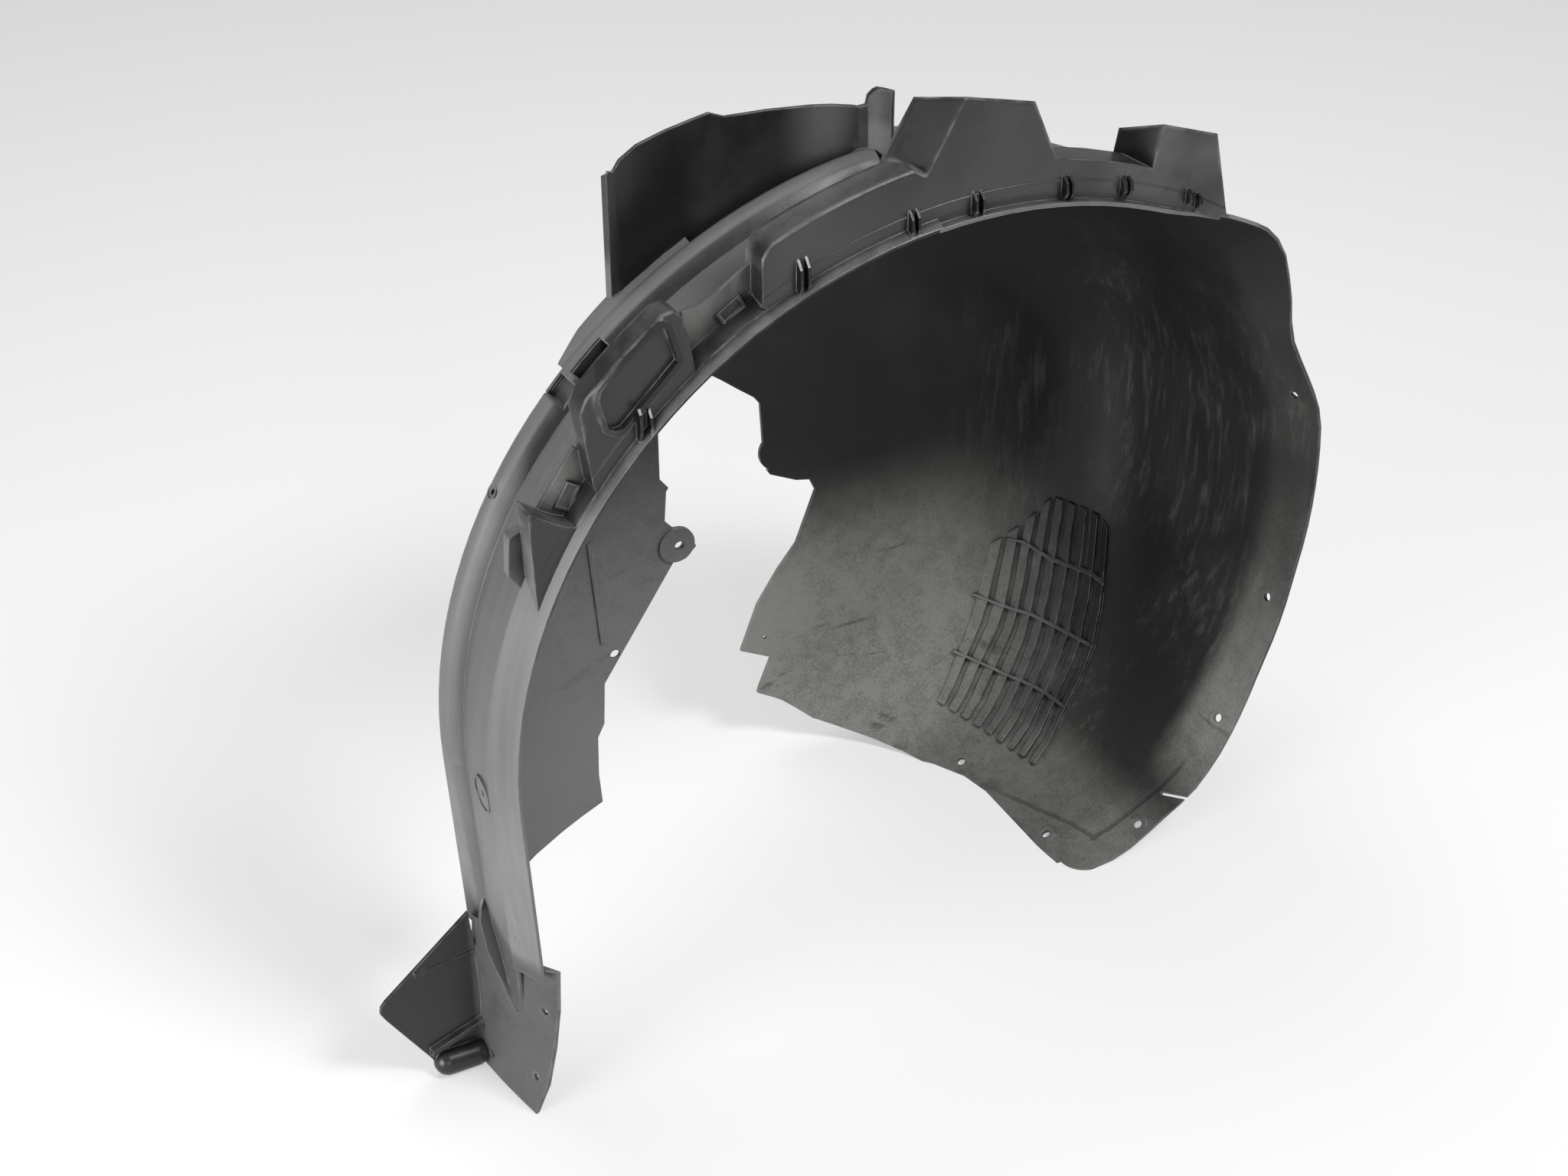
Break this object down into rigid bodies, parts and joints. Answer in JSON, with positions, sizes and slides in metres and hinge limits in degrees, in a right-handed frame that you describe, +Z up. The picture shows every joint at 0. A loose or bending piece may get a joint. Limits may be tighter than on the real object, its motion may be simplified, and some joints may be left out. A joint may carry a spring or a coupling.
{
  "type": "wheel arch liner",
  "caption": "Moulded black plastic front wheel arch liner with a deep front bowl, rim blocks and towers, pockets, louvre field, collar and flanges with fixing holes",
  "frame": {"origin": "wheel axis where it crosses the plane of the outboard lip", "axes": "+X towards the front of the car, +Y inboard along the wheel axis, +Z up"},
  "size_m": [0.8687, 0.371, 0.799],
  "materials": {
    "liner_plastic": "black moulded polypropylene, satin outside, dusty and scuffed on the tyre side"
  },
  "bodies": {
    "root": {"arch_liner": "liner_plastic"}
  },
  "joints": []
}
